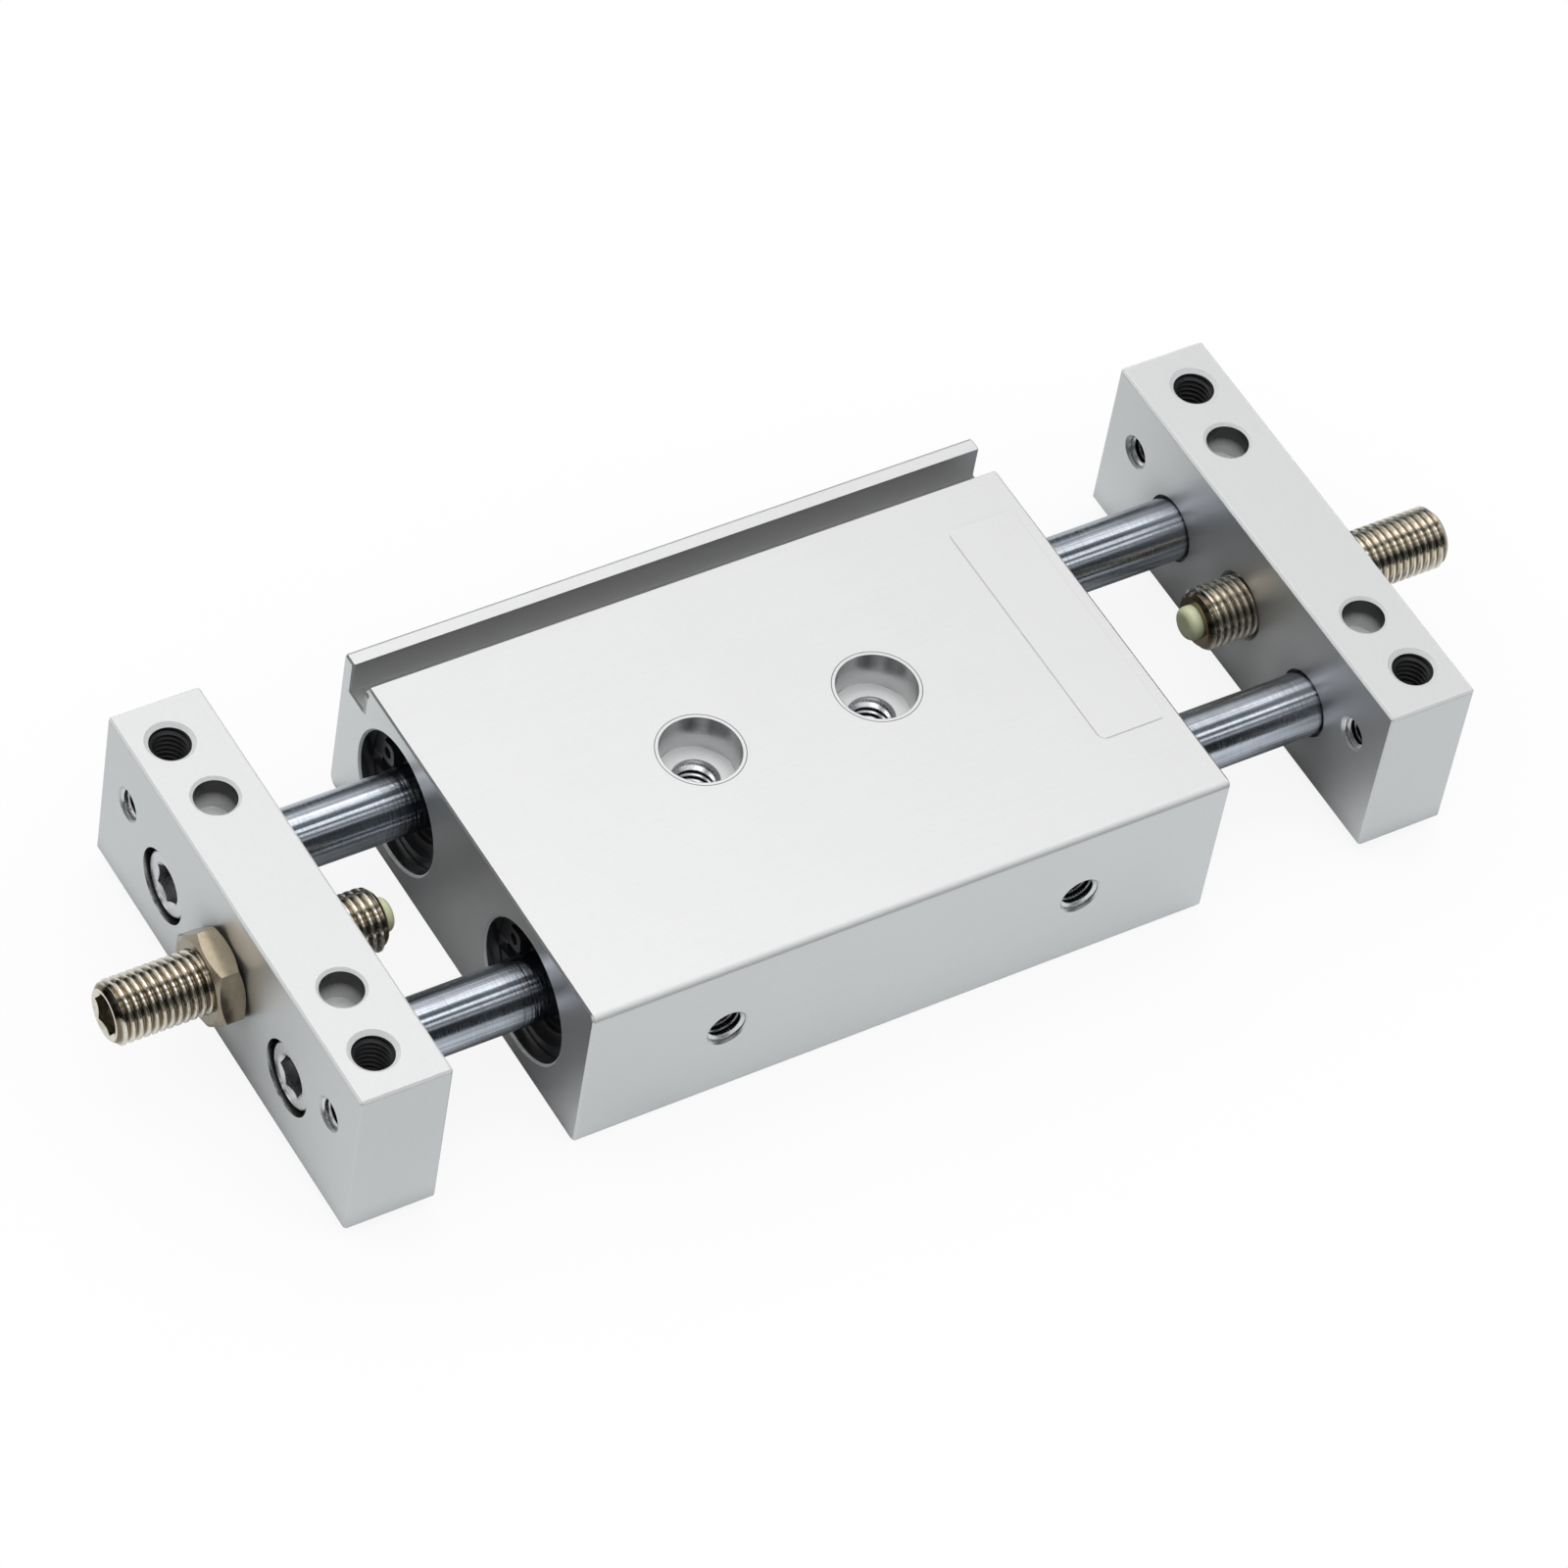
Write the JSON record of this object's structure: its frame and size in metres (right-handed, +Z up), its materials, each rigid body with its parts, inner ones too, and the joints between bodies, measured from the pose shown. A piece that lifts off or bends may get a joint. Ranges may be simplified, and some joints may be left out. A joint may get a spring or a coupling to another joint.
{
  "type": "pneumatic slide table",
  "caption": "Twin-rod pneumatic slide cylinder: flat aluminium body, rods out of both ends, thick end plates with threaded stop screws, jam nuts and soft bumpers.",
  "frame": {"origin": "middle of the underside of the body block", "axes": "+X along the rods, +Y towards the side with the sensor slot, +Z up"},
  "size_m": [0.1824, 0.062, 0.0247],
  "materials": {
    "clear_anodised_aluminium": "clear anodised, fine matt",
    "hard_chromed_steel": "hard chromed and ground",
    "nickel_plated_steel": "nickel plated",
    "zinc_plated_steel": "zinc plated",
    "phosphated_spring_steel": "phosphated, oiled",
    "dark_anodised_aluminium": "dark hard anodised",
    "machined_aluminium": "machined",
    "nitrile_rubber": "matt",
    "pale_urethane": "smooth, slightly cloudy",
    "acetal": "smooth",
    "bonded_magnet": "matt"
  },
  "bodies": {
    "cylinder": {"body_block": "clear_anodised_aluminium", "rod_gland_left_front": "dark_anodised_aluminium", "rod_seal_left_front": "nitrile_rubber", "gland_ring_left_front": "nitrile_rubber", "retaining_ring_left_front": "phosphated_spring_steel", "cushion_left_front": "nitrile_rubber", "rod_gland_left_back": "dark_anodised_aluminium", "rod_seal_left_back": "nitrile_rubber", "gland_ring_left_back": "nitrile_rubber", "retaining_ring_left_back": "phosphated_spring_steel", "cushion_left_back": "nitrile_rubber", "rod_gland_right_front": "dark_anodised_aluminium", "rod_seal_right_front": "nitrile_rubber", "gland_ring_right_front": "nitrile_rubber", "retaining_ring_right_front": "phosphated_spring_steel", "cushion_right_front": "nitrile_rubber", "rod_gland_right_back": "dark_anodised_aluminium", "rod_seal_right_back": "nitrile_rubber", "gland_ring_right_back": "nitrile_rubber", "retaining_ring_right_back": "phosphated_spring_steel", "cushion_right_back": "nitrile_rubber"},
    "carriage": {"rod_front": "hard_chromed_steel", "piston_front": "machined_aluminium", "guide_ring_front": "acetal", "piston_clips_front": "phosphated_spring_steel", "piston_seal_front_left": "nitrile_rubber", "piston_seal_front_right": "nitrile_rubber", "rod_back": "hard_chromed_steel", "piston_back": "machined_aluminium", "guide_ring_back": "acetal", "piston_clips_back": "phosphated_spring_steel", "piston_seal_back_left": "nitrile_rubber", "piston_seal_back_right": "nitrile_rubber", "piston_magnet": "bonded_magnet", "end_plate_left": "clear_anodised_aluminium", "plate_screws_left": "zinc_plated_steel", "end_plate_right": "clear_anodised_aluminium", "plate_screws_right": "zinc_plated_steel"},
    "left_bumper": {"stop_bumper_left": "pale_urethane"},
    "left_stop": {"stop_screw_left": "nickel_plated_steel"},
    "left_nut": {"jam_nut_left": "nickel_plated_steel"},
    "right_bumper": {"stop_bumper_right": "pale_urethane"},
    "right_stop": {"stop_screw_right": "nickel_plated_steel"},
    "right_nut": {"jam_nut_right": "nickel_plated_steel"}
  },
  "joints": [
    {"name": "carriage_slide", "type": "slide", "parent": "cylinder", "child": "carriage", "axis": [1, 0, 0], "range_m": [-0.01365, 0.00925]},
    {"name": "left_stop_travel", "type": "slide", "parent": "carriage", "child": "left_bumper", "axis": [1, 0, 0], "range_m": [-0.006, 0]},
    {"name": "left_stop_turn", "type": "hinge", "parent": "left_bumper", "child": "left_stop", "pos_m": [-0.06175, 0, 0.01315], "axis": [1, 0, 0], "range_deg": [-2160, 0]},
    {"name": "left_nut_travel", "type": "slide", "parent": "carriage", "child": "left_nut", "axis": [-1, 0, 0], "range_m": [0, 0.008]},
    {"name": "right_stop_travel", "type": "slide", "parent": "carriage", "child": "right_bumper", "axis": [-1, 0, 0], "range_m": [-0.006, 0]},
    {"name": "right_stop_turn", "type": "hinge", "parent": "right_bumper", "child": "right_stop", "pos_m": [0.06475, 0, 0.01315], "axis": [-1, 0, 0], "range_deg": [-2160, 0]},
    {"name": "right_nut_travel", "type": "slide", "parent": "carriage", "child": "right_nut", "axis": [1, 0, 0], "range_m": [0, 0.008]}
  ],
  "couplings": [
    {"joint": "left_stop_travel", "follows": "left_stop_turn", "m_per_rad": 0.00015915},
    {"joint": "right_stop_travel", "follows": "right_stop_turn", "m_per_rad": 0.00015915}
  ]
}
